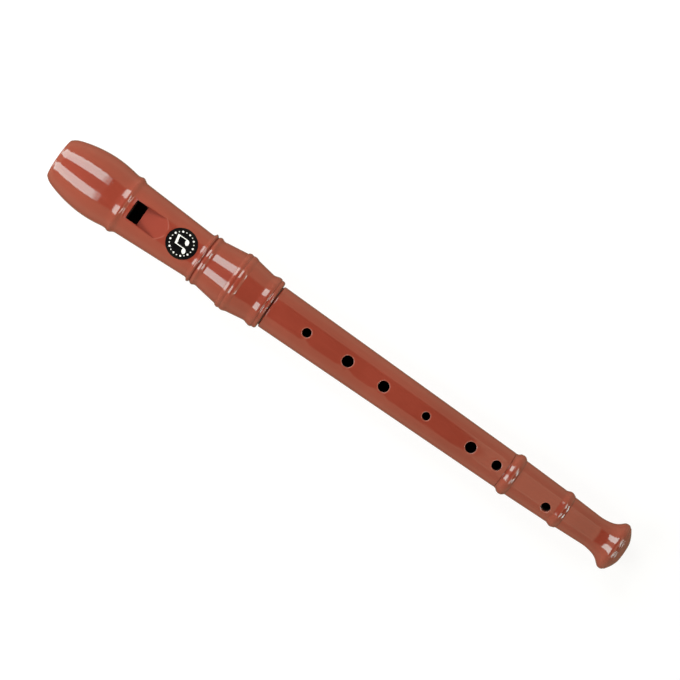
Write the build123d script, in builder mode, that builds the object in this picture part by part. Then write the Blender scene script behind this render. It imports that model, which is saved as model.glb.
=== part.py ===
from build123d import *

import os
from math import cos, radians, sin

# A soprano recorder in three joints, lying on its back with the window and finger holes up.
#
# Frame: +X runs along the bore from the beak to the bell, +Z is up, and the origin is the middle of
# the recorder's footprint on the surface that it lies on. Millimetres.
#
# In the sections below a place along the bore is its distance from the beak's tip, and a height is
# measured from the bore's axis.

# ---- Driving dimensions -------------------------------------------------------------------------
LENGTH = 330.0  # beak tip to bell
BEAK_RADIUS = 16.12  # widest point of the beak, above and beside its scoop
FIRST_BEAD_RADIUS = 15.52  # the largest radius underneath, so it is what the recorder rests on
AXIS_HEIGHT = FIRST_BEAD_RADIUS

# Places along the bore
HEAD_TUBE_START = 42.3  # seam between mouthpiece and head tube
WINDOW_START = 43.4  # where the windway ends
WINDOW_END = 49.4  # the labium's edge
COLLAR_START = 84.75  # seam in the groove of the double bead
HEAD_END = 123.6  # end of the socket collar
MIDDLE_START = 124.05  # shoulder of the middle joint: the head is drawn out 0.45
MIDDLE_END = 260.9
FOOT_START = 261.05
FOOT_RING_END = 267.3
FOOT_RADIUS = 9.72  # outside, where the foot joins the middle joint
FOOT_BEAD_START = 291.1

SHOULDER_ROUND = 0.8  # edge of the middle joint against the head
SEAM_ROUND = 0.2  # edges of the seam between the middle joint and the foot
TENON_CHAMFER = 0.5
SOCKET_CHAMFER = 0.4

# Bores
HEAD_BORE = 7.5
MIDDLE_BORE_TOP = 6.6
MIDDLE_BORE_END = 5.35
FOOT_BORE = 5.5
FOOT_BORE_STRAIGHT = 22.0  # straight stretch of the foot's bore, from its mouth
MOUTH_CHAMFER = 0.5

# Joints between the pieces
HEAD_SOCKET = 9.0
HEAD_TENON_LENGTH = 20.0
FOOT_SOCKET = 8.0
FOOT_TENON_LENGTH = 12.0
RUNNING_GAP = 0.04  # radial clearance of a tenon in its socket
SOCKET_FLOOR_GAP = 0.6  # between a tenon's end and the floor of its socket
MOUTH_RECESS = (10.85, 1.0)  # radius and depth, in the collar's end
LAND = (10.6, 1.2)  # radius and length of the step between shoulder and tenon
GLUE_GAP = 0.01  # radial gap of a glued or pressed seat
SPIGOT_RADIUS = 9.4  # mouthpiece spigot in the head tube
SPIGOT_LENGTH = 5.6
NECK_RADIUS = 10.4  # head tube's neck in the collar
NECK_LENGTH = 15.0
RING_SEAT = 8.85  # foot's neck under its socket ring

# Windway, window and labium
WINDWAY_WIDTH = 10.1
WINDOW_WIDTH = 10.35
WINDWAY_FLOOR = 7.2
WINDWAY_ROOF_OUT = 8.3  # at the window
WINDWAY_ROOF_IN = 8.7  # at the tip
LABIUM_EDGE = 8.3  # height of the ramp where it meets the window
LABIUM_UNDERSIDE = 7.8
LABIUM_UNDERCUT = 6.0  # length of the flat under the labium
RAMP_ANGLE = 18.4
RAMP_LENGTH = 20.0  # long enough to come out through the tube's top
RAMP_HALF_WIDTH_START = 5.3
RAMP_HALF_WIDTH_END = 5.9
WINDOW_CORNER = 0.5

# Beak
TIP_RADIUS = 9.75  # of the flat end, before its edge rounds over
BLOCK_RECESS = 0.3  # of the block's outer end, behind the beak's tip
BLOCK_CHAMFER = 0.6  # of the block's upper edge at the window
SCOOP_TIP_HEIGHT = 2.6  # underside of the tip, above the bore's axis
SCOOP_MIDDLE = (20.5, -3.2)
SCOOP_END = (36.0, -16.5)

# Badge
BADGE_CENTRE = 72.4
BADGE_RADIUS = 8.0
BADGE_THICKNESS = 0.12
BADGE_GAP = 0.02

# Holes: distance from the tip and diameter. A turn is about the bore, from straight up. The line of
# the finger holes stands a little off the window, and the thumb hole is on the back.
FINGER_LINE_TURN = 3.0
FINGER_HOLES = ((145.5, 4.6), (169.3, 5.8), (190.2, 5.6), (214.9, 4.1), (240.9, 5.6), (255.9, 4.9))
THUMB_HOLE = (139.5, 5.2)
FOOT_HOLE = (286.6, 4.8)
FOOT_HOLE_TURN = 23.0
HOLE_RIM = 0.3  # rounding of a hole's rim

WIDE = 60.0  # larger than any cross-section, for cuts that go right across

os.makedirs("parts", exist_ok=True)

TIP_X = -LENGTH / 2
bore_axis = Axis((TIP_X, 0, AXIS_HEIGHT), (1, 0, 0))
# Lengthwise section: local x is the distance from the tip, local y the height above the bore's axis
section = Plane(origin=(TIP_X, 0, AXIS_HEIGHT), x_dir=(1, 0, 0), z_dir=(0, -1, 0))
# Seen from above: local x is the distance from the tip, local y runs across
plan = Plane(origin=(TIP_X, 0, AXIS_HEIGHT), x_dir=(1, 0, 0), z_dir=(0, 0, 1))


def radial(distance, turn=0.0):
    """The plane through the bore's axis that faces outward, turned about the bore from straight up."""
    out = (0, -sin(radians(turn)), cos(radians(turn)))
    return Plane(origin=(TIP_X + distance, 0, AXIS_HEIGHT), x_dir=(1, 0, 0), z_dir=out)


def save(part, name):
    """Label one finished piece and write it."""
    part.label = name
    export_step(part, f"parts/{name}.step")


def ring(edges, distance, radius):
    """The circular edges at a place along the bore that have a given radius."""
    return [
        edge
        for edge in edges.filter_by(GeomType.CIRCLE)
        if abs(edge.radius - radius) < 0.05 and abs(edge.arc_center.X - TIP_X - distance) < 0.05
    ]


def rim(hole_edges, outside):
    """A radial hole's edges on the outer surface, whose radius there is given."""
    found = []
    for edge in hole_edges:
        middle = edge @ 0.5
        if abs((middle.Y**2 + (middle.Z - AXIS_HEIGHT) ** 2) ** 0.5 - outside) < 1:
            found.append(edge)
    return found


def straight(start, end, distance):
    """Radius at a distance on the straight taper between two (distance, radius) points."""
    share = (distance - start[0]) / (end[0] - start[0])
    return start[1] + share * (end[1] - start[1])


# Straight tapers of the outside
HEAD_TAPER = ((HEAD_TUBE_START, 14.08), (81.4, 12.16))
MIDDLE_TAPER = ((MIDDLE_START, 11.53), (MIDDLE_END, FOOT_RADIUS))
FOOT_TAPER = ((FOOT_RING_END, FOOT_RADIUS), (FOOT_BEAD_START, 9.03))

# Ends of the mouthpiece's spigot and of the middle joint's tenons
SPIGOT_END = HEAD_TUBE_START + SPIGOT_LENGTH
HEAD_TENON_END = MIDDLE_START - HEAD_TENON_LENGTH
FOOT_TENON_END = MIDDLE_END + FOOT_TENON_LENGTH


# The hollow under the beak, where the lower lip rests: an arc closed below the recorder
with BuildSketch(section) as scoop:
    with BuildLine():
        scoop_arc = ThreePointArc((-1, SCOOP_TIP_HEIGHT), SCOOP_MIDDLE, SCOOP_END)
        Polyline(scoop_arc @ 1, (SCOOP_END[0], -WIDE / 2), (-1, -WIDE / 2), scoop_arc @ 0)
    make_face()

# ---- Mouthpiece: beak, windway roof and the bead behind it ---------------------------------------
with BuildPart() as mouthpiece:
    with BuildSketch(section):
        with BuildLine():
            tip_corner = ThreePointArc((0, TIP_RADIUS), (0.2, 10.45), (0.8, 11.0))
            beak = Spline(
                tip_corner @ 1,
                (2.2, 12.05),
                (5.1, 13.2),
                (11.9, 14.9),
                (22.3, BEAK_RADIUS),
                (30.0, 15.82),
                (34.8, 15.12),
            )
            bead = Spline(
                beak @ 1,
                (36.2, 15.0),
                (37.4, 15.12),
                (38.8, FIRST_BEAD_RADIUS),
                (40.4, 14.88),
                HEAD_TAPER[0],
                tangents=((1, -0.07), (1, -0.15)),
            )
            Polyline(
                bead @ 1,
                (HEAD_TUBE_START, SPIGOT_RADIUS),
                (SPIGOT_END, SPIGOT_RADIUS),
                (SPIGOT_END, HEAD_BORE),
                (0, HEAD_BORE),
                tip_corner @ 0,
            )
        make_face()
    revolve(axis=bore_axis)
    # Windway: flat floor, roof falling slightly toward the window
    with BuildSketch(section):
        with BuildLine():
            Polyline(
                (-1, WINDWAY_FLOOR),
                (WINDOW_START + 1, WINDWAY_FLOOR),
                (WINDOW_START + 1, WINDWAY_ROOF_OUT),
                (WINDOW_START, WINDWAY_ROOF_OUT),
                (0, WINDWAY_ROOF_IN),
                (-1, WINDWAY_ROOF_IN),
                close=True,
            )
        make_face()
    extrude(amount=WINDWAY_WIDTH / 2, both=True, mode=Mode.SUBTRACT)
    # The spigot is open below the window
    with BuildSketch(plan):
        with Locations((WINDOW_START, 0)):
            Rectangle(SPIGOT_LENGTH, WINDOW_WIDTH, align=(Align.MIN, Align.CENTER))
    extrude(amount=WIDE / 2, mode=Mode.SUBTRACT)
    # Scoop for the lower lip
    extrude(scoop.sketch, amount=WIDE / 2, both=True, mode=Mode.SUBTRACT)
save(mouthpiece.part, "mouthpiece")

# ---- Block: plugs the beak's bore and carries the middle of the windway's floor ------------------
with BuildPart() as fipple_block:
    with BuildSketch(section):
        with BuildLine():
            Polyline(
                (BLOCK_RECESS, 0),
                (BLOCK_RECESS, HEAD_BORE - GLUE_GAP),
                (WINDOW_START, HEAD_BORE - GLUE_GAP),
                (WINDOW_START, 0),
                close=True,
            )
        make_face()
    revolve(axis=bore_axis)
    # Flat for the windway, with the chamfer at its exit
    with BuildSketch(section):
        with BuildLine():
            Polyline(
                (-1, WINDWAY_FLOOR),
                (WINDOW_START - BLOCK_CHAMFER, WINDWAY_FLOOR),
                (WINDOW_START + BLOCK_CHAMFER, WINDWAY_FLOOR - 2 * BLOCK_CHAMFER),
                (WINDOW_START + BLOCK_CHAMFER, WIDE / 2),
                (-1, WIDE / 2),
                close=True,
            )
        make_face()
    extrude(amount=WIDE / 2, both=True, mode=Mode.SUBTRACT)
    extrude(scoop.sketch, amount=WIDE / 2, both=True, mode=Mode.SUBTRACT)
save(fipple_block.part, "fipple_block")

# ---- Head tube: window, labium and ramp ----------------------------------------------------------
ramp = Plane(
    origin=(TIP_X + WINDOW_END, 0, AXIS_HEIGHT + LABIUM_EDGE),
    x_dir=(cos(radians(RAMP_ANGLE)), 0, sin(radians(RAMP_ANGLE))),
    z_dir=(-sin(radians(RAMP_ANGLE)), 0, cos(radians(RAMP_ANGLE))),
)
with BuildPart() as head_tube:
    with BuildSketch(section):
        with BuildLine():
            taper = Line(*HEAD_TAPER)
            bead = Spline(
                taper @ 1,
                (83.35, 13.5),
                (COLLAR_START, 12.45),
                tangents=((1, -0.05), (0.6, -1)),
            )
            Polyline(
                bead @ 1,
                (COLLAR_START, NECK_RADIUS),
                (COLLAR_START + NECK_LENGTH, NECK_RADIUS),
                (COLLAR_START + NECK_LENGTH, HEAD_BORE),
                (SPIGOT_END, HEAD_BORE),
                (SPIGOT_END, SPIGOT_RADIUS + GLUE_GAP),
                (HEAD_TUBE_START, SPIGOT_RADIUS + GLUE_GAP),
                taper @ 0,
            )
        make_face()
    revolve(axis=bore_axis)
    # Window
    with BuildSketch(plan):
        with Locations(((WINDOW_START + WINDOW_END) / 2, 0)):
            RectangleRounded(WINDOW_END - WINDOW_START, WINDOW_WIDTH, WINDOW_CORNER)
    extrude(amount=WIDE / 2, mode=Mode.SUBTRACT)
    # Flat under the labium
    with BuildSketch(plan):
        with Locations((WINDOW_END + LABIUM_UNDERCUT / 2, 0)):
            Rectangle(LABIUM_UNDERCUT + 2, WINDOW_WIDTH)
    extrude(amount=LABIUM_UNDERSIDE, mode=Mode.SUBTRACT)
    # Ramp, a little wider where it comes out of the tube
    with BuildSketch(ramp):
        with BuildLine():
            Polyline(
                (0, -RAMP_HALF_WIDTH_START),
                (RAMP_LENGTH, -RAMP_HALF_WIDTH_END),
                (RAMP_LENGTH, RAMP_HALF_WIDTH_END),
                (0, RAMP_HALF_WIDTH_START),
                close=True,
            )
        make_face()
    extrude(amount=WIDE / 3, dir=(0, 0, 1), mode=Mode.SUBTRACT)
save(head_tube.part, "head_tube")

# ---- Badge: a thin round label wrapped on the head tube ------------------------------------------
with BuildPart() as badge_label:
    first = BADGE_CENTRE - BADGE_RADIUS - 1
    last = BADGE_CENTRE + BADGE_RADIUS + 1
    low_first = straight(*HEAD_TAPER, first) + BADGE_GAP
    low_last = straight(*HEAD_TAPER, last) + BADGE_GAP
    with BuildSketch(section):
        with BuildLine():
            Polyline(
                (first, low_first),
                (last, low_last),
                (last, low_last + BADGE_THICKNESS),
                (first, low_first + BADGE_THICKNESS),
                close=True,
            )
        make_face()
    revolve(axis=bore_axis)
    # Wrapped on the tube, the disc is seen narrower across
    wrap_radius = straight(*HEAD_TAPER, BADGE_CENTRE)
    with BuildSketch(plan):
        with Locations((BADGE_CENTRE, 0)):
            Ellipse(BADGE_RADIUS, wrap_radius * sin(BADGE_RADIUS / wrap_radius))
    extrude(amount=WIDE / 2, mode=Mode.INTERSECT)
save(badge_label.part, "badge_label")

# ---- Socket collar: the bulge that takes the middle joint's tenon --------------------------------
socket_floor = HEAD_TENON_END - SOCKET_FLOOR_GAP
with BuildPart() as socket_collar:
    with BuildSketch(section):
        with BuildLine():
            bead_1 = Spline(
                (COLLAR_START, 12.45),
                (86.4, 13.4),
                (88.7, 12.68),
                tangents=((0.6, 1), (1, 0)),
            )
            rise = Polyline(bead_1 @ 1, (90.2, 12.95), (100.7, 14.42))
            bead_2 = Spline(
                rise @ 1,
                (101.2, 14.92),
                (102.3, 15.33),
                (103.6, 15.05),
                tangents=((0.45, 1), (0.9, -0.2)),
            )
            bead_3 = Spline(
                bead_2 @ 1,
                (104.8, 15.3),
                (106.9, 14.72),
                tangents=((0.9, 0.4), (0.9, -0.4)),
            )
            fall = Polyline(bead_3 @ 1, (107.1, 14.6), (116.2, 13.12))
            bead_4 = Spline(
                fall @ 1,
                (119.8, 13.8),
                (121.6, 13.2),
                tangents=((1, -0.16), (0.5, -1)),
            )
            end_ring = Spline(
                bead_4 @ 1,
                (122.4, 13.28),
                (HEAD_END, 12.2),
                tangents=((0.7, 0.4), (0.1, -1)),
            )
            Polyline(
                end_ring @ 1,
                (HEAD_END, MOUTH_RECESS[0]),
                (HEAD_END - MOUTH_RECESS[1], MOUTH_RECESS[0]),
                (HEAD_END - MOUTH_RECESS[1], HEAD_SOCKET + SOCKET_CHAMFER),
                (HEAD_END - MOUTH_RECESS[1] - SOCKET_CHAMFER, HEAD_SOCKET),
                (socket_floor, HEAD_SOCKET),
                (socket_floor, HEAD_BORE),
                (COLLAR_START + NECK_LENGTH, HEAD_BORE),
                (COLLAR_START + NECK_LENGTH, NECK_RADIUS + GLUE_GAP),
                (COLLAR_START, NECK_RADIUS + GLUE_GAP),
                bead_1 @ 0,
            )
        make_face()
    revolve(axis=bore_axis)
save(socket_collar.part, "socket_collar")

# ---- Middle joint: six finger holes, the thumb hole and a tenon at either end --------------------
with BuildPart() as middle_joint:
    head_tenon = HEAD_SOCKET - RUNNING_GAP
    foot_tenon = FOOT_SOCKET - RUNNING_GAP
    with BuildSketch(section):
        with BuildLine():
            Polyline(
                (HEAD_TENON_END, MIDDLE_BORE_TOP),
                (HEAD_TENON_END, head_tenon - TENON_CHAMFER),
                (HEAD_TENON_END + TENON_CHAMFER, head_tenon),
                (MIDDLE_START - LAND[1], head_tenon),
                (MIDDLE_START - LAND[1], LAND[0]),
                (MIDDLE_START, LAND[0]),
                *MIDDLE_TAPER,
                (MIDDLE_END, foot_tenon),
                (FOOT_TENON_END - TENON_CHAMFER, foot_tenon),
                (FOOT_TENON_END, foot_tenon - TENON_CHAMFER),
                (FOOT_TENON_END, MIDDLE_BORE_END),
                close=True,
            )
        make_face()
    revolve(axis=bore_axis)
    fillet(ring(middle_joint.edges(), *MIDDLE_TAPER[0]), SHOULDER_ROUND)
    fillet(ring(middle_joint.edges(), *MIDDLE_TAPER[1]), SEAM_ROUND)
    thumb = (*THUMB_HOLE, FINGER_LINE_TURN + 180)
    for distance, diameter, turn in [thumb, *((*hole, FINGER_LINE_TURN) for hole in FINGER_HOLES)]:
        with BuildSketch(radial(distance, turn)):
            Circle(diameter / 2)
        extrude(amount=WIDE / 2, mode=Mode.SUBTRACT)
        fillet(rim(middle_joint.edges(Select.LAST), straight(*MIDDLE_TAPER, distance)), HOLE_RIM)
save(middle_joint.part, "middle_joint")

# ---- Ring round the foot's socket ----------------------------------------------------------------
with BuildPart() as foot_socket_ring:
    with BuildSketch(section):
        with BuildLine():
            crest_1 = Spline(
                (FOOT_START, FOOT_RADIUS),
                (262.1, 9.85),
                (263.2, 10.68),
                (263.9, 10.92),
                tangents=((1, 0), (1, 0.1)),
            )
            crest_2 = Spline(
                crest_1 @ 1,
                (264.7, 11.08),
                (FOOT_RING_END, FOOT_RADIUS),
                tangents=((1, 0.5), (0.8, -1)),
            )
            Polyline(
                crest_2 @ 1,
                (FOOT_RING_END, RING_SEAT + GLUE_GAP),
                (FOOT_START, RING_SEAT + GLUE_GAP),
                crest_1 @ 0,
            )
        make_face()
    revolve(axis=bore_axis)
    fillet(ring(foot_socket_ring.edges(), FOOT_START, FOOT_RADIUS), SEAM_ROUND)
save(foot_socket_ring.part, "foot_socket_ring")

# ---- Foot joint: seventh hole, bead and bell -----------------------------------------------------
with BuildPart() as foot_joint:
    with BuildSketch(section):
        with BuildLine():
            neck = Line((FOOT_START, RING_SEAT), (FOOT_RING_END, RING_SEAT))
            step = Line(neck @ 1, FOOT_TAPER[0])
            taper = Line(*FOOT_TAPER)
            bead = Spline(
                taper @ 1,
                (292.3, 9.42),
                (293.7, 9.86),
                (295.3, 9.45),
                (296.4, 8.74),
                tangents=((1, 0.15), (0.6, -1)),
            )
            waist = Line(bead @ 1, (311.0, 8.04))
            flare = Spline(
                waist @ 1,
                (316.0, 8.4),
                (320.3, 9.85),
                (322.8, 11.9),
                (324.8, 12.67),
                tangents=((1, -0.05), (1, 0)),
            )
            lip = ThreePointArc(flare @ 1, (325.9, 12.4), (326.5, 11.8))
            edge_line = ThreePointArc(lip @ 1, (326.85, 11.72), (327.15, 11.35))
            face = ThreePointArc(edge_line @ 1, (328.6, 9.2), (LENGTH, FOOT_BORE + MOUTH_CHAMFER))
            Polyline(
                face @ 1,
                (LENGTH - MOUTH_CHAMFER, FOOT_BORE),
                (LENGTH - FOOT_BORE_STRAIGHT, FOOT_BORE),
                (FOOT_TENON_END + SOCKET_FLOOR_GAP, MIDDLE_BORE_END),
                (FOOT_TENON_END + SOCKET_FLOOR_GAP, FOOT_SOCKET),
                (FOOT_START, FOOT_SOCKET),
                neck @ 0,
            )
        make_face()
    revolve(axis=bore_axis)
    with BuildSketch(radial(FOOT_HOLE[0], FOOT_HOLE_TURN)):
        Circle(FOOT_HOLE[1] / 2)
    extrude(amount=WIDE / 2, mode=Mode.SUBTRACT)
    fillet(rim(foot_joint.edges(Select.LAST), straight(*FOOT_TAPER, FOOT_HOLE[0])), HOLE_RIM)
save(foot_joint.part, "foot_joint")
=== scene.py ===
"""A soprano recorder in glossy brown-red plastic: its materials, the print on its badge, and the studio."""
import math

import bmesh
import bpy
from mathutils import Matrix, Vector


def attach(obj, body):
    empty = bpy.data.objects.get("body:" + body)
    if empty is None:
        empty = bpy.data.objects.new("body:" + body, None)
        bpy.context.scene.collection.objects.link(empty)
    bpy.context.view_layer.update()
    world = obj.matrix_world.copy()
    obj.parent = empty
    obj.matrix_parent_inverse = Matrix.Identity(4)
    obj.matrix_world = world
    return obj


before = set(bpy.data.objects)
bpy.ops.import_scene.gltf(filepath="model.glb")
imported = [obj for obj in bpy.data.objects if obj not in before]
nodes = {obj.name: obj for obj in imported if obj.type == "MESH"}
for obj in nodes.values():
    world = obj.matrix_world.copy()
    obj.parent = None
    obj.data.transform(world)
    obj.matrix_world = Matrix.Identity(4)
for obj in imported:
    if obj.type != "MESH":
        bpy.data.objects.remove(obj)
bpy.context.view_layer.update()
scene = bpy.context.scene
MM = 0.001

# ---- Places on the recorder, in mm: distance from the beak's tip, and radius from the bore's axis ---
LENGTH = 330.0
AXIS_HEIGHT = 15.52

HEAD_START, HEAD_RADIUS, HEAD_SLOPE = 42.3, 14.08, -1.92 / 39.1  # of the tapering head tube
RAMP_START, RAMP_HEIGHT, RAMP_ANGLE = 49.4, 8.3, 18.4
RAMP_HALF_WIDTH = 6.1
WINDOW_ZONE_END = 60.0
HEAD_BORE = 7.52

BADGE_PLACE = 72.4
BADGE_GAP = 0.02
BADGE_THICKNESS = 0.12

# Holes: place, radius, and turn about the bore from straight up
FINGER_TURN = 3.0
MIDDLE_HOLES = (
    (145.5, 2.30, FINGER_TURN),
    (169.3, 2.90, FINGER_TURN),
    (190.2, 2.80, FINGER_TURN),
    (214.9, 2.05, FINGER_TURN),
    (240.9, 2.80, FINGER_TURN),
    (255.9, 2.45, FINGER_TURN),
    (139.5, 2.60, FINGER_TURN + 180),
)
FOOT_HOLES = ((286.6, 2.4, 23.0),)

# Straight tapers: start, radius there, end, radius there
HEAD_TAPER = (42.35, 14.0775, 81.35, 12.1625)
MIDDLE_TAPER = (124.9, 11.519, 260.65, 9.723)
FOOT_TAPER = (267.35, 9.719, 291.05, 9.031)


# ---- A short way to write node trees -------------------------------------------------------------
class Tree:
    """The node tree of one material. Numbers and sockets can be mixed in its sums."""

    def __init__(self, name):
        self.material = bpy.data.materials.new(name)
        self.material.use_nodes = True
        self.nodes = self.material.node_tree.nodes
        self.links = self.material.node_tree.links
        self.nodes.clear()
        self.shader = self.nodes.new("ShaderNodeBsdfPrincipled")
        output = self.nodes.new("ShaderNodeOutputMaterial")
        self.links.new(self.shader.outputs["BSDF"], output.inputs["Surface"])
        # Places in mm, from the beak's tip and the bore's axis
        metres = self.nodes.new("ShaderNodeTexCoord").outputs["Object"]
        millimetres = self.vector("SCALE", metres, scale=1 / MM)
        self.place = self.vector("SUBTRACT", millimetres, (-LENGTH / 2, 0, AXIS_HEIGHT))
        apart = self.nodes.new("ShaderNodeSeparateXYZ")
        self.links.new(self.place, apart.inputs[0])
        self.x, self.y, self.z = apart.outputs
        square = self.math("MULTIPLY_ADD", self.y, self.y, self.math("MULTIPLY", self.z, self.z))
        self.radius = self.math("SQRT", square)

    def put(self, socket, value):
        if isinstance(value, bpy.types.NodeSocket):
            self.links.new(value, socket)
        else:
            socket.default_value = value

    def math(self, operation, *values, clamp=False):
        node = self.nodes.new("ShaderNodeMath")
        node.operation = operation
        node.use_clamp = clamp
        for socket, value in zip(node.inputs, values):
            self.put(socket, value)
        return node.outputs[0]

    def larger(self, first, second):
        return self.math("MAXIMUM", first, second)

    def product(self, *factors):
        result = factors[0]
        for factor in factors[1:]:
            result = self.math("MULTIPLY", result, factor)
        return result

    def between(self, value, low, high):
        """1 where a value lies between low and high, else 0."""
        above = self.math("GREATER_THAN", value, low)
        return self.product(above, self.math("LESS_THAN", value, high))

    def distance(self, value, centre):
        return self.math("ABSOLUTE", self.math("SUBTRACT", value, centre))

    def vector(self, operation, first, second=None, scale=None):
        node = self.nodes.new("ShaderNodeVectorMath")
        node.operation = operation
        self.put(node.inputs[0], first)
        if second is not None:
            self.put(node.inputs[1], second)
        if scale is not None:
            node.inputs["Scale"].default_value = scale
        return node.outputs[0]

    def stretch(self, factors):
        """The place, scaled along each axis."""
        return self.vector("MULTIPLY", self.place, factors)

    def ramp(self, value, low, high, to_low=0.0, to_high=1.0):
        """A smooth step of a value from low to high."""
        node = self.nodes.new("ShaderNodeMapRange")
        node.interpolation_type = "SMOOTHSTEP"
        for socket, number in zip(node.inputs[:5], (value, low, high, to_low, to_high)):
            self.put(socket, number)
        return node.outputs[0]

    def noise(self, scale, detail=2.0, roughness=0.5, where=None, distortion=0.0):
        """Noise whose grains are about 1 / scale mm."""
        node = self.nodes.new("ShaderNodeTexNoise")
        self.put(node.inputs["Vector"], self.place if where is None else where)
        node.inputs["Scale"].default_value = scale
        node.inputs["Detail"].default_value = detail
        node.inputs["Roughness"].default_value = roughness
        node.inputs["Distortion"].default_value = distortion
        return node.outputs["Fac"]

    def mix(self, factor, first, second, kind="RGBA"):
        """A mix of two colours, or of two vectors when kind is VECTOR."""
        node = self.nodes.new("ShaderNodeMix")
        node.data_type = kind
        shown = [socket for socket in node.inputs if socket.enabled]
        for socket, value in zip(shown, (factor, first, second)):
            self.put(socket, value)
        return [socket for socket in node.outputs if socket.enabled][0]

    def bump(self, height, distance, normal=None):
        """Relief of a height from 0 to 1 that stands for a distance in mm."""
        node = self.nodes.new("ShaderNodeBump")
        node.inputs["Strength"].default_value = 1.0
        node.inputs["Distance"].default_value = distance * MM
        self.put(node.inputs["Height"], height)
        if normal is not None:
            self.put(node.inputs["Normal"], normal)
        return node.outputs[0]

    def taper_depth(self, taper):
        """How far under the surface of a taper a place lies."""
        start, first, end, last = taper
        slope = (last - first) / (end - start)
        surface = self.math("MULTIPLY_ADD", self.math("SUBTRACT", self.x, start), slope, first)
        return self.math("SUBTRACT", surface, self.radius)

    def taper_normal(self, taper, holes):
        """The normal of a turned surface, true to its straight taper.

        The mesh's own normals lean a little where long thin faces meet a hole's rim. They are kept
        beyond the taper, under its surface, and close to the holes.
        """
        start, first, end, last = taper
        slope = (last - first) / (end - start)
        outward = self.nodes.new("ShaderNodeCombineXYZ")
        self.put(outward.inputs[0], self.math("MULTIPLY", self.radius, -slope))
        self.put(outward.inputs[1], self.y)
        self.put(outward.inputs[2], self.z)
        turn = self.nodes.new("ShaderNodeVectorTransform")
        turn.vector_type = "NORMAL"
        turn.convert_from = "OBJECT"
        turn.convert_to = "WORLD"
        self.put(turn.inputs[0], outward.outputs[0])
        straight = self.vector("NORMALIZE", turn.outputs[0])

        on_surface = self.math("LESS_THAN", self.taper_depth(taper), 0.05)
        there = self.product(self.between(self.x, start, end), on_surface)
        for hole in holes:
            away, on_side = self.hole_distance(hole)
            clear = self.math("GREATER_THAN", away, hole[1] + 0.32)
            clear = self.larger(clear, self.math("SUBTRACT", 1.0, on_side))
            there = self.product(there, clear)
        mesh_normal = self.nodes.new("ShaderNodeNewGeometry").outputs["Normal"]
        return self.mix(there, mesh_normal, straight, kind="VECTOR")

    def hole_distance(self, hole):
        """Distance from a hole's axis, and 1 on the side of the tube where the hole is."""
        place, _, turn = hole
        cosine = math.cos(math.radians(turn))
        sine = math.sin(math.radians(turn))
        along = self.math("SUBTRACT", self.x, place)
        across = self.math("MULTIPLY_ADD", self.y, cosine, self.math("MULTIPLY", self.z, sine))
        out = self.math("MULTIPLY_ADD", self.z, cosine, self.math("MULTIPLY", self.y, -sine))
        square = self.math("MULTIPLY_ADD", along, along, self.math("MULTIPLY", across, across))
        return self.math("SQRT", square), self.math("GREATER_THAN", out, 0.0)


# ---- Brown-red moulded plastic -------------------------------------------------------------------
BASE = (0.245, 0.0415, 0.0250, 1)
BASE_DARK = (0.220, 0.0360, 0.0212, 1)
BASE_LIGHT = (0.270, 0.0475, 0.0292, 1)
# Colour of wear and scratches, also used for the painted highlights on the hole rims and the ramp's edge.
WORN_AND_HIGHLIGHT = (0.34, 0.095, 0.066, 1)
# Colour of grime in smudges and grooves, also used for the painted shade in the seam of two joints.
GRIME_AND_SEAM_SHADE = (0.085, 0.016, 0.010, 1)
# Painted shade: near black for the unlit inside of the bore, the window and the holes.
INSIDE_SHADE = (0.0030, 0.0010, 0.0008, 1)


def pigment(t):
    """The plastic's colour: slow drift, streaks of the melt's flow, and fine grain."""
    drift = t.noise(0.045, detail=3.0)
    flow = t.noise(1.0, detail=4.0, where=t.stretch((0.03, 0.35, 0.35)), distortion=0.6)
    grain = t.noise(1.6, detail=5.0, roughness=0.65)
    colour = t.mix(t.ramp(drift, 0.32, 0.68), BASE_DARK, BASE_LIGHT)
    colour = t.mix(0.5, colour, BASE)
    colour = t.mix(t.ramp(flow, 0.45, 0.75, 0.0, 0.35), colour, BASE_LIGHT)
    return t.mix(t.ramp(grain, 0.52, 0.75, 0.0, 0.40), colour, BASE_DARK)


def scratch_marks(t):
    """Fine scratches along the recorder and round it."""
    along = t.noise(1.0, detail=2.0, where=t.stretch((0.12, 5.5, 5.5)), distortion=0.25)
    around = t.noise(1.0, detail=2.0, where=t.stretch((4.5, 0.35, 0.35)), distortion=0.35)
    return t.larger(t.ramp(along, 0.70, 0.78), t.ramp(around, 0.73, 0.80))


def ramp_edge_highlight(t):
    """A painted highlight on the edge where the ramp leaves the head tube, most at its sides."""
    rise = math.tan(math.radians(RAMP_ANGLE))
    level = t.math("MULTIPLY_ADD", t.math("SUBTRACT", t.x, RAMP_START), rise, RAMP_HEIGHT)
    aside = t.math("ABSOLUTE", t.y)
    return t.product(
        t.ramp(t.distance(t.z, level), 0.04, 0.22, 0.75, 0.0),
        t.ramp(t.taper_depth(HEAD_TAPER), 0.05, 0.25, 1.0, 0.0),
        t.math("LESS_THAN", aside, RAMP_HALF_WIDTH),
        t.ramp(aside, 0.3, 2.6, 0.1, 0.7),
    )


def wear(t, crests):
    """Wear in small patches, and more of it on the crests."""
    paler_marks = t.ramp(t.noise(2.2, detail=4.0), 0.62, 0.80, 0.0, 0.10)
    for place, half in crests:
        near = t.ramp(t.distance(t.x, place), half * 0.2, half, 1.0, 0.0)
        patchy = t.ramp(t.noise(0.9, detail=5.0, roughness=0.7), 0.45, 0.72, 0.0, 0.30)
        paler_marks = t.larger(paler_marks, t.product(near, patchy))
    return paler_marks


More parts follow.
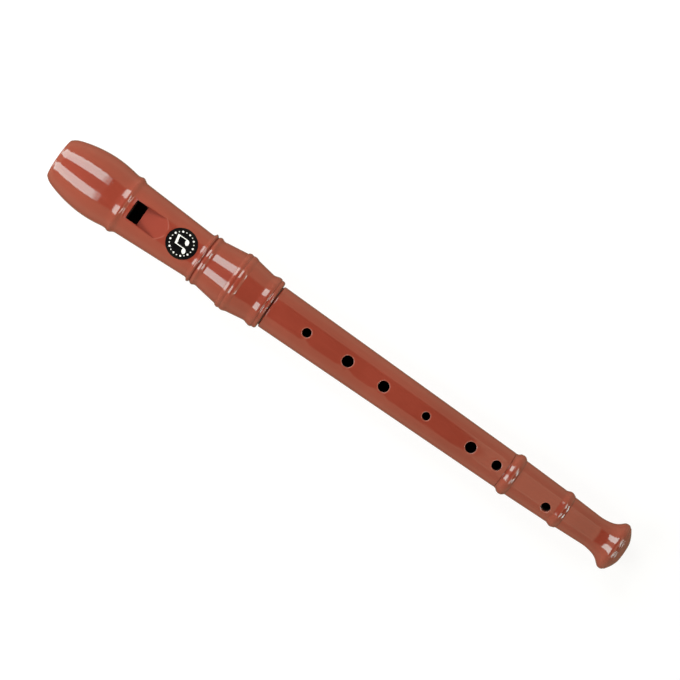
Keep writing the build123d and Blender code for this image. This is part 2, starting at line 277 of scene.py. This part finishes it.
def grime_and_seam_shade(t, smudge, grooves, seam):
    """Grime in the smudges and in the grooves, and painted shade, darkest, in the seam of two joints."""
    dirt_and_seam_shade = t.ramp(smudge, 0.66, 0.86, 0.0, 0.10)
    for place, half in grooves:
        near = t.ramp(t.distance(t.x, place), half * 0.25, half, 1.0, 0.0)
        patchy = t.ramp(t.noise(0.7, detail=4.0), 0.25, 0.65, 0.15, 0.40)
        dirt_and_seam_shade = t.larger(dirt_and_seam_shade, t.product(near, patchy))
    if seam is not None:
        # Painted shade in the seam of two joints.
        patchy = t.ramp(t.noise(0.6, detail=4.0), 0.3, 0.7, 0.78, 0.96)
        dirt_and_seam_shade = t.larger(dirt_and_seam_shade, t.product(t.between(t.x, *seam), patchy))
    return dirt_and_seam_shade


def painted_inside_shade(t, bore, hidden, bell):
    """Painted shade: 1 in the unlit inside of the recorder and in the hidden stretch, fading where daylight
    reaches into the bell.
    """
    inside = 0.0
    if bore is not None:
        inside = t.ramp(t.radius, bore, bore + 0.25, 1.0, 0.0)
    if bell:
        inside = t.product(inside, t.ramp(t.x, LENGTH - 9.0, LENGTH - 1.0, 1.0, 0.0))
    if hidden is not None:
        inside = t.larger(inside, t.product(t.between(t.x, *hidden), 0.96))
    return inside


def hole_rim_highlight(t, hole):
    """A painted highlight on the rim of a hole."""
    away, on_side = t.hole_distance(hole)
    near = t.ramp(away, hole[1] + 0.15, hole[1] + 0.75, 1.0, 0.0)
    return t.product(near, on_side, t.ramp(t.noise(1.1, detail=3.0), 0.3, 0.7, 0.55, 0.85))


def hole_wall_shade(t, hole, tube):
    """Painted shade on the wall of a hole, under the rim, darker the deeper it lies."""
    away, on_side = t.hole_distance(hole)
    deep = t.ramp(t.radius, tube - 2.2, tube - 0.5, 1.0, 0.0)
    return t.product(t.math("LESS_THAN", away, hole[1] + 0.06), on_side, deep)


def plastic(name, bore=None, tube=None, hidden=None, seam=None, taper=None,
            holes=(), grooves=(), crests=(), ramped=False, bell=False):
    """Glossy moulded plastic.

    bore is the radius under which a surface gets the painted shade of the recorder's inside, tube the
    outer radius round the holes, hidden a stretch painted with shade inside, seam the stretch where two
    joints meet, painted with shade, and taper the straight part of the outside. Grooves are dirty and
    crests get wear, each given as (place, half width). ramped marks the piece with the ramp, whose edge
    gets a painted highlight, bell the one with the bell. Hole rims get painted highlights and hole walls
    painted shade.
    """
    t = Tree(name)
    smudge = t.noise(0.11, detail=4.0, roughness=0.6)
    scratches = scratch_marks(t)
    paler_marks = wear(t, crests)
    # The ramp's edge gets a painted highlight, in with the wear.
    if ramped:
        paler_marks = t.larger(paler_marks, ramp_edge_highlight(t))
    dirt_and_seam_shade = grime_and_seam_shade(t, smudge, grooves, seam)
    # Painted shade inside the bore and in the hidden stretch, fading near the bell.
    inside = painted_inside_shade(t, bore, hidden, bell)
    # Each hole gets a painted highlight on its rim and painted shade on its wall.
    for hole in holes:
        paler_marks = t.larger(paler_marks, hole_rim_highlight(t, hole))
        inside = t.larger(inside, hole_wall_shade(t, hole, tube))

    # Grime with the painted seam shade, wear with the painted highlights, scratches, then the painted
    # inside shade.
    colour = t.mix(dirt_and_seam_shade, pigment(t), GRIME_AND_SEAM_SHADE)
    colour = t.mix(paler_marks, colour, WORN_AND_HIGHLIGHT)
    colour = t.mix(t.product(scratches, 0.16), colour, WORN_AND_HIGHLIGHT)
    colour = t.mix(inside, colour, INSIDE_SHADE)
    t.put(t.shader.inputs["Base Color"], colour)

    rough = t.ramp(smudge, 0.30, 0.75, 0.06, 0.11)
    rough = t.math("MULTIPLY_ADD", scratches, 0.10, rough)
    rough = t.math("MULTIPLY_ADD", paler_marks, 0.20, rough)
    rough = t.math("MULTIPLY_ADD", dirt_and_seam_shade, 0.35, rough)
    rough = t.math("MULTIPLY_ADD", inside, 0.90, rough, clamp=True)
    t.put(t.shader.inputs["Roughness"], rough)
    t.shader.inputs["IOR"].default_value = 1.50

    smooth = t.taper_normal(taper, holes) if taper else None
    relief = t.bump(t.noise(0.42, detail=2.0), 0.010, smooth)
    relief = t.bump(t.noise(1.9, detail=3.0), 0.0012, relief)
    relief = t.bump(t.math("SUBTRACT", 1.0, scratches), 0.0035, relief)
    t.put(t.shader.inputs["Normal"], relief)
    return t.material


# ---- The badge's film and ink ----------------------------------------------------------------------
def badge_film():
    """Black printed film: nearly black, satin, with fine dust and hairline scratches."""
    t = Tree("badge_film")
    cloud = t.noise(0.5, detail=4.0)
    colour = t.mix(t.ramp(cloud, 0.35, 0.7), (0.0035, 0.0035, 0.0040, 1), (0.0060, 0.0058, 0.0058, 1))
    dust = t.ramp(t.noise(7.0, detail=3.0, roughness=0.7), 0.74, 0.82, 0.0, 0.10)
    hair = t.ramp(t.noise(1.0, where=t.stretch((0.5, 9.0, 9.0)), distortion=0.4), 0.74, 0.80, 0.0, 0.10)
    colour = t.mix(t.larger(dust, hair), colour, (0.11, 0.105, 0.10, 1))
    t.put(t.shader.inputs["Base Color"], colour)
    rough = t.math("MULTIPLY_ADD", hair, 0.4, t.ramp(cloud, 0.3, 0.7, 0.10, 0.17))
    t.put(t.shader.inputs["Roughness"], rough)
    t.shader.inputs["IOR"].default_value = 1.40
    t.shader.inputs["Specular IOR Level"].default_value = 0.12
    t.put(t.shader.inputs["Normal"], t.bump(t.noise(1.4, detail=4.0), 0.002))
    return t.material


def badge_ink():
    """Silver-white printing ink, a little uneven."""
    t = Tree("badge_ink")
    coverage = t.noise(3.0, detail=4.0, roughness=0.6)
    colour = t.mix(t.ramp(coverage, 0.3, 0.7), (0.62, 0.63, 0.62, 1), (0.82, 0.82, 0.80, 1))
    t.put(t.shader.inputs["Base Color"], colour)
    t.put(t.shader.inputs["Roughness"], t.ramp(coverage, 0.3, 0.7, 0.42, 0.30))
    t.put(t.shader.inputs["Normal"], t.bump(coverage, 0.002))
    return t.material


# ---- Which piece gets which material ---------------------------------------------------------------
def paint(node, material):
    """Gives a CAD node one material."""
    materials = nodes[node].data.materials
    materials.clear()
    materials.append(material)


paint(
    "mouthpiece",
    plastic("mouth_plastic", hidden=(42.6, WINDOW_ZONE_END), crests=((0.6, 1.6), (38.8, 1.2))),
)
paint("fipple_block", plastic("block_plastic", hidden=(42.9, WINDOW_ZONE_END)))
paint(
    "head_tube",
    plastic(
        "head_plastic",
        bore=HEAD_BORE,
        taper=HEAD_TAPER,
        grooves=((84.75, 0.6),),
        crests=((83.3, 0.9),),
        ramped=True,
    ),
)
paint(
    "socket_collar",
    plastic(
        "collar_plastic",
        bore=9.05,
        grooves=((84.75, 0.5), (103.6, 0.3)),
        crests=((86.4, 0.9), (102.0, 1.2), (104.8, 1.0), (119.6, 1.2), (122.6, 0.6)),
    ),
)
paint(
    "middle_joint",
    plastic(
        "middle_plastic",
        bore=6.75,
        tube=10.4,
        # The seam under the collar gets painted shade.
        seam=(122.8, 124.2),
        taper=MIDDLE_TAPER,
        holes=MIDDLE_HOLES,
        crests=((125.0, 0.7),),
    ),
)
paint("foot_socket_ring", plastic("ring_plastic", crests=((263.9, 0.8),)))
paint(
    "foot_joint",
    plastic(
        "foot_plastic",
        bore=5.56,
        tube=9.3,
        taper=FOOT_TAPER,
        holes=FOOT_HOLES,
        grooves=((267.2, 0.35), (296.4, 0.35)),
        crests=((293.4, 1.2), (324.9, 1.4)),
        bell=True,
    ),
)
paint("badge_label", badge_film())


# ---- Print on the badge: a ring of dots and a pair of quavers --------------------------------------
PRINT_LIFT = 0.004  # above the film
PRINT_THICKNESS = 0.02
DOT_COUNT = 20
DOT_RING_RADIUS = 5.9
DOT_RADII = (0.30, 0.50)  # in turn round the ring
NOTE_HEADS = ((-2.45, -2.75), (1.75, -1.95))  # across, up
NOTE_HEAD_SIZE = (1.40, 1.00)  # half length, half width
NOTE_HEAD_LEAN = 22
STEMS = (((-1.28, -2.50), (-1.28, 2.2)), ((2.92, -1.70), (2.92, 3.0)))
STEM_WIDTH = 0.42
BEAM = ((-1.49, 2.4), (3.13, 3.28))
BEAM_WIDTH = 1.15


def on_badge(points, lift):
    """Points of the flat badge, wrapped on the tube. Across is +Y; up is toward the beak."""
    wrapped = []
    for across, up in points:
        place = BADGE_PLACE - up
        tube = HEAD_RADIUS + HEAD_SLOPE * (place - HEAD_START)
        radius = tube + BADGE_GAP + BADGE_THICKNESS + lift
        turn = across / radius
        height = AXIS_HEIGHT + radius * math.cos(turn)
        wrapped.append(Vector((place - LENGTH / 2, radius * math.sin(turn), height)) * MM)
    return wrapped


def printed(mesh, outline):
    """Adds one printed shape: a strip of (left, right) point pairs, both faces and its edge."""
    left = [pair[0] for pair in outline]
    right = [pair[1] for pair in outline]
    rows = []
    for lift in (PRINT_LIFT, PRINT_LIFT + PRINT_THICKNESS):
        rows.append([mesh.verts.new(p) for p in on_badge(left, lift)])
        rows.append([mesh.verts.new(p) for p in on_badge(right, lift)])
    low_left, low_right, top_left, top_right = rows
    for i in range(len(outline) - 1):
        mesh.faces.new((top_left[i], top_left[i + 1], top_right[i + 1], top_right[i]))
        mesh.faces.new((low_left[i + 1], low_left[i], low_right[i], low_right[i + 1]))
        mesh.faces.new((low_left[i], low_left[i + 1], top_left[i + 1], top_left[i]))
        mesh.faces.new((top_right[i], top_right[i + 1], low_right[i + 1], low_right[i]))
    mesh.faces.new((low_left[0], top_left[0], top_right[0], low_right[0]))
    mesh.faces.new((low_left[-1], low_right[-1], top_right[-1], top_left[-1]))


def ellipse(centre, half_length, half_width, lean, steps=20):
    """A filled ellipse as a strip of point pairs from one end to the other, both ends cut just flat."""
    cosine, sine = math.cos(math.radians(lean)), math.sin(math.radians(lean))
    pairs = []
    for i in range(steps + 1):
        angle = math.pi * (0.02 + 0.96 * i / steps)
        u = -half_length * math.cos(angle)
        pair = []
        for side in (-1, 1):
            v = side * half_width * math.sin(angle)
            pair.append((centre[0] + u * cosine - v * sine, centre[1] + u * sine + v * cosine))
        pairs.append(pair)
    return pairs


def bar(start, end, width, steps=8):
    """A straight bar of a constant width."""
    direction = (Vector(end) - Vector(start)).normalized()
    side = Vector((-direction.y, direction.x)) * width / 2
    pairs = []
    for i in range(steps + 1):
        middle = Vector(start).lerp(Vector(end), i / steps)
        pairs.append((tuple(middle - side), tuple(middle + side)))
    return pairs


def build_print():
    mesh = bmesh.new()
    for i in range(DOT_COUNT):
        angle = 2 * math.pi * (i + 0.5) / DOT_COUNT
        centre = (DOT_RING_RADIUS * math.sin(angle), DOT_RING_RADIUS * math.cos(angle))
        size = DOT_RADII[i % 2]
        printed(mesh, ellipse(centre, size, size, 0, steps=12))
    for head in NOTE_HEADS:
        printed(mesh, ellipse(head, *NOTE_HEAD_SIZE, NOTE_HEAD_LEAN))
    for foot, top in STEMS:
        printed(mesh, bar(foot, top, STEM_WIDTH))
    printed(mesh, bar(*BEAM, BEAM_WIDTH))
    data = bpy.data.meshes.new("badge_print")
    mesh.to_mesh(data)
    mesh.free()
    data.materials.append(badge_ink())
    made = bpy.data.objects.new("badge_print", data)
    scene.collection.objects.link(made)
    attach(made, "head")


build_print()

# ---- Floor and backdrop, in metres ---------------------------------------------------------------
FLOOR_SIZE = 12.0
FLOOR_DROP = 0.0002
WALL_RADIUS = 5.9
WALL_HEIGHT = 5.0
WALL_FOOT = -0.01
WALL_SIDES = 64


def pale_paper():
    """White paper with a little light of its own."""
    material = bpy.data.materials.new("floor_paper")
    material.use_nodes = True
    shader = material.node_tree.nodes["Principled BSDF"]
    shader.inputs["Base Color"].default_value = (0.16, 0.16, 0.16, 1)
    shader.inputs["Emission Color"].default_value = (1, 1, 1, 1)
    shader.inputs["Emission Strength"].default_value = 0.87
    shader.inputs["Roughness"].default_value = 0.9
    shader.inputs["Specular IOR Level"].default_value = 0.1
    return material


def studio_mesh(name, points, faces, material):
    """A mesh of the studio, which is never seen reflected."""
    data = bpy.data.meshes.new(name)
    data.from_pydata(points, [], faces)
    data.materials.append(material)
    made = bpy.data.objects.new(name, data)
    made.visible_glossy = False
    scene.collection.objects.link(made)
    return made


def build_floor(paper):
    half = FLOOR_SIZE / 2
    corners = [(x * half, y * half, -FLOOR_DROP) for x, y in ((-1, -1), (1, -1), (1, 1), (-1, 1))]
    floor = studio_mesh("floor", corners, [(0, 1, 2, 3)], paper)


def build_backdrop(paper):
    """A round wall behind the floor, which neither lights the recorder nor shadows it."""
    points, faces = [], []
    for i in range(WALL_SIDES):
        angle = 2 * math.pi * i / WALL_SIDES
        foot = (WALL_RADIUS * math.cos(angle), WALL_RADIUS * math.sin(angle))
        points += [(*foot, WALL_FOOT), (*foot, WALL_HEIGHT)]
        here, following = 2 * i, 2 * ((i + 1) % WALL_SIDES)
        faces.append((here, here + 1, following + 1, following))
    backdrop = studio_mesh("backdrop", points, faces, paper)
    backdrop.visible_diffuse = False
    backdrop.visible_shadow = False


white_paper = pale_paper()
build_floor(white_paper)
build_backdrop(white_paper)

# ---- Lights, in metres ----------------------------------------------------------------------------
WARM = (1.0, 0.93, 0.62)
COOL = (0.71, 0.98, 0.965)
DIM = (0.95, 0.98, 1.0)
LIGHT_HEIGHT = 0.315
STRIP_RADIANCE = 8.8
STRIP_INNER = 0.105  # the strips' edge on the side of the recorder
STRIP_FAR_END = -0.62
STRIP_NEAR_END = -0.122
# The strips beside the head, from beyond the beak: X range, outer edge, share of the full radiance
STRIPS = (
    (STRIP_FAR_END, -0.52, 0.500, 1.0),
    (-0.52, -0.42, 0.460, 1.0),
    (-0.42, -0.32, 0.420, 1.0),
    (-0.32, -0.23, 0.385, 1.0),
    (-0.23, -0.165, 0.360, 1.0),
    (-0.165, -0.145, 0.345, 0.65),
    (-0.145, STRIP_NEAR_END, 0.333, 0.35),
)
# Their far ends turn down to the floor: height range, outer edge
END_BANDS = ((0.0, 0.08, 0.31), (0.08, 0.16, 0.36), (0.16, 0.24, 0.42), (0.24, LIGHT_HEIGHT, 0.47))
BELL_STRIP = ((0.25, 0.42), 0.333)  # X range, outer edge
LIP_LIGHT_PLACE = 0.28
LIP_LIGHT_ACROSS = (0.02, 0.10)
LIP_LIGHT_HEIGHTS = (0.075, 0.105)
LIP_RADIANCE = 20.0
FILL_ALONG = (-0.8, -0.1)
FILL_ACROSS = (0.15, 0.65)
FILL_HEIGHT = 0.6
FILL_RADIANCE = 5.65


def softbox(name, place, size, radiance, colour, turned=0.0, reflected=True):
    """A softbox that faces down, or is turned about Y.

    It is either seen reflected in the plastic or it lights the plastic, so that the sizes of the
    highlights and the fall of the light along the recorder are set apart.
    """
    light = bpy.data.lights.new(name, "AREA")
    light.shape = "RECTANGLE"
    light.size, light.size_y = size
    light.energy = radiance * math.pi * size[0] * size[1]
    light.color = colour
    made = bpy.data.objects.new(name, light)
    made.location = place
    made.rotation_euler = (0, turned, 0)
    made.visible_camera = False
    made.visible_glossy = reflected
    made.visible_diffuse = not reflected
    scene.collection.objects.link(made)


def panel(name, low, high, height, radiance, colour=(1, 1, 1), reflected=True):
    """A softbox that faces straight down over a rectangle of the floor."""
    place = ((low[0] + high[0]) / 2, (low[1] + high[1]) / 2, height)
    size = (high[0] - low[0], high[1] - low[1])
    softbox(name, place, size, radiance, colour, reflected=reflected)


def end_wall(name, low, high, x, radiance, colour):
    """An upright softbox at x that faces the recorder: low and high are its (y, z)."""
    place = (x, (low[0] + high[0]) / 2, (low[1] + high[1]) / 2)
    size = (high[1] - low[1], high[0] - low[0])
    softbox(name, place, size, radiance, colour, turned=math.copysign(math.pi / 2, x))


def build_side_lights(side):
    """The lights on one side of the recorder; side is -1 or 1."""

    def across(inner, outer):
        return sorted((side * inner, side * outer))

    for place, (start, end, outer, share) in enumerate(STRIPS):
        near, far = across(STRIP_INNER, outer)
        radiance = STRIP_RADIANCE * share
        panel(f"strip_{side}_{place}", (start, near), (end, far), LIGHT_HEIGHT, radiance, COOL)
    (start, end), outer = BELL_STRIP
    near, far = across(STRIP_INNER, outer)
    panel(f"strip_bell_{side}", (start, near), (end, far), LIGHT_HEIGHT, STRIP_RADIANCE, COOL)
    for place, (low, high, outer) in enumerate(END_BANDS):
        near, far = across(STRIP_INNER, outer)
        name = f"strip_end_{side}_{place}"
        end_wall(name, (near, low), (far, high), STRIP_FAR_END, STRIP_RADIANCE, COOL)

    near, far = across(*LIP_LIGHT_ACROSS)
    low, high = LIP_LIGHT_HEIGHTS
    end_wall(f"lip_light_{side}", (near, low), (far, high), LIP_LIGHT_PLACE, LIP_RADIANCE, COOL)

    near, far = across(*FILL_ACROSS)
    start, end = FILL_ALONG
    panel(f"fill_{side}", (start, near), (end, far), FILL_HEIGHT, FILL_RADIANCE, reflected=False)


# Smooth steps of the room's brightness with the direction's height: from, to, below, above
OVERHEAD = (0.60, 0.66, 0.85, 0.03)
UNDERFOOT = (-0.85, -0.25, 0.30, 1.0)


def build_world():
    """The room: dark overhead, bright round the sides, and darker again far below the horizon."""
    world = bpy.data.worlds.new("studio")
    world.use_nodes = True
    scene.world = world
    tree = world.node_tree
    apart = tree.nodes.new("ShaderNodeSeparateXYZ")
    tree.links.new(tree.nodes.new("ShaderNodeTexCoord").outputs["Generated"], apart.inputs[0])
    both = tree.nodes.new("ShaderNodeMath")
    both.operation = "MULTIPLY"
    for factor, numbers in zip(both.inputs, (OVERHEAD, UNDERFOOT)):
        step = tree.nodes.new("ShaderNodeMapRange")
        step.interpolation_type = "SMOOTHSTEP"
        for socket, number in zip(step.inputs[1:5], numbers):
            socket.default_value = number
        tree.links.new(apart.outputs["Z"], step.inputs[0])
        tree.links.new(step.outputs[0], factor)
    background = tree.nodes["Background"]
    background.inputs["Color"].default_value = (*WARM, 1)
    tree.links.new(both.outputs[0], background.inputs["Strength"])


for side in (-1, 1):
    build_side_lights(side)
panel("ceiling_head", (-1.2, -0.1), (STRIP_NEAR_END, 0.1), LIGHT_HEIGHT, 0.22, DIM)
panel("ceiling_foot", (0.107, -0.42), (0.285, 0.42), LIGHT_HEIGHT + 0.01, 1.25, WARM)
build_world()

# ---- Camera, straight above, in metres --------------------------------------------------------------
VIEW_WIDTH = 0.3264  # across the picture, at the height of the bore's axis
CAMERA_DISTANCE = 1.4
CAMERA_TURN = 35.0
VIEW_CENTRE = (-0.0046, 0.0057)
camera_data = bpy.data.cameras.new("camera")
camera_data.sensor_width = 36.0
camera_data.lens = camera_data.sensor_width * CAMERA_DISTANCE / VIEW_WIDTH
camera_data.clip_end = 50.0
camera = bpy.data.objects.new("camera", camera_data)
camera.location = (*VIEW_CENTRE, AXIS_HEIGHT * MM + CAMERA_DISTANCE)
camera.rotation_euler = (0, 0, math.radians(CAMERA_TURN))
scene.collection.objects.link(camera)
scene.camera = camera
scene.view_settings.view_transform = "Standard"
